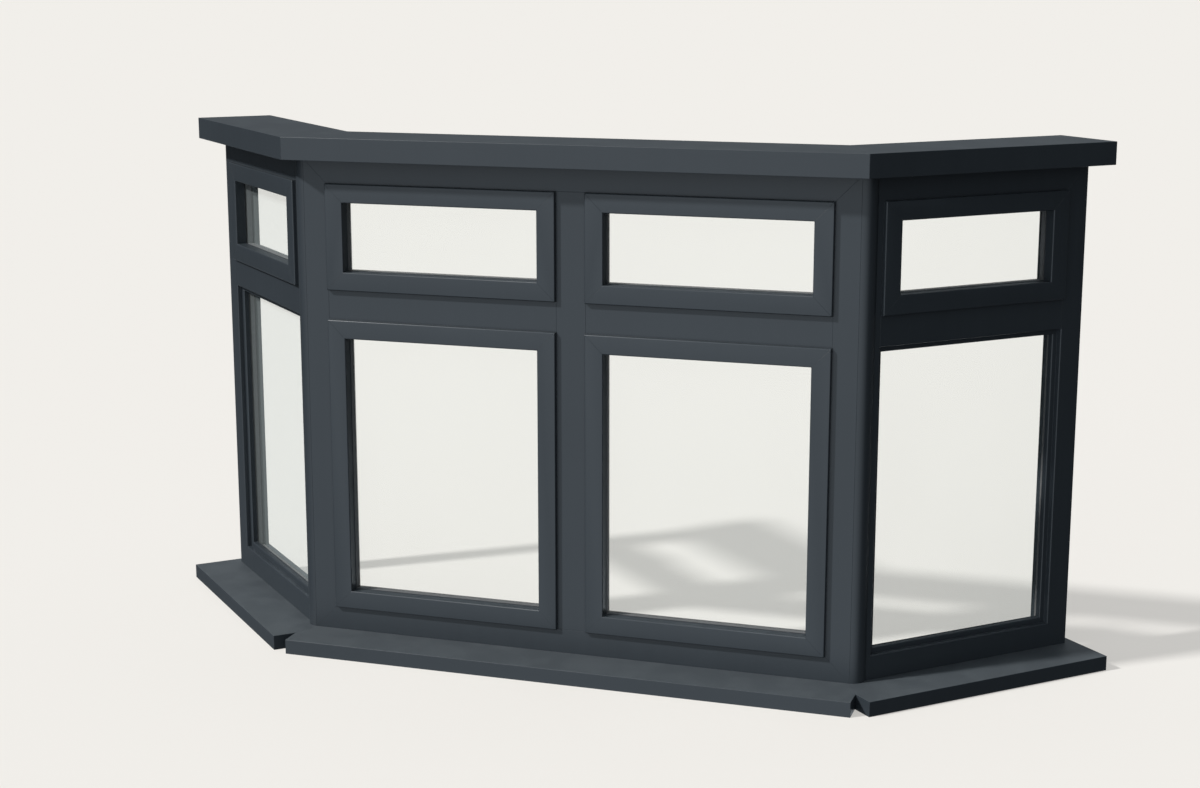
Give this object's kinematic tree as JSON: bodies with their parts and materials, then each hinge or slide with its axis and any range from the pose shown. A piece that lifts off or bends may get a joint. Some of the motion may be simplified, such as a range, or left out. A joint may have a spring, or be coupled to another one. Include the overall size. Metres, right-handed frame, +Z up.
{
  "type": "bay window",
  "caption": "Casement bay window with a wide centre facet, two side facets turned back 45 degrees, a projecting sill and a projecting head board.",
  "frame": {"origin": "underside of the sill, under the middle of the centre facet, in the plane of the frames' outer face", "axes": "+X along the centre facet to the right as seen from outside, +Y into the building, +Z up"},
  "size_m": [2.7232, 0.7573, 1.4],
  "materials": {
    "board": "smooth satin anthracite grey",
    "frame": "smooth satin anthracite grey",
    "sash": "smooth satin anthracite grey",
    "bead": "smooth satin anthracite grey",
    "post": "powder coated anthracite grey",
    "glass": "clear double glazing",
    "spacer": "dull grey",
    "handle": "satin dark grey"
  },
  "bodies": {
    "root": {"sill_left": "board", "sill_centre": "board", "sill_right": "board", "head_left": "board", "head_centre": "board", "head_right": "board", "frame_left": "frame", "frame_centre": "frame", "frame_right": "frame", "corner_post_left": "post", "corner_post_right": "post", "mullion": "frame", "transom_left": "frame", "transom_centre_left": "frame", "transom_centre_right": "frame", "transom_right": "frame", "sash_top_left": "sash", "sash_top_centre_left": "sash", "sash_top_centre_right": "sash", "sash_top_right": "sash", "sash_low_centre_left": "sash", "sash_low_centre_right": "sash", "glass_top_left": "glass", "glass_top_centre_left": "glass", "glass_top_centre_right": "glass", "glass_top_right": "glass", "glass_low_left": "glass", "glass_low_centre_left": "glass", "glass_low_centre_right": "glass", "glass_low_right": "glass", "beads_left": "bead", "beads_centre": "bead", "beads_right": "bead", "spacers_left": "spacer", "spacers_centre": "spacer", "spacers_right": "spacer", "handle_top_left": "handle", "handle_top_centre_left": "handle", "handle_top_centre_right": "handle", "handle_top_right": "handle", "handle_low_centre_left": "handle", "handle_low_centre_right": "handle"}
  },
  "joints": []
}
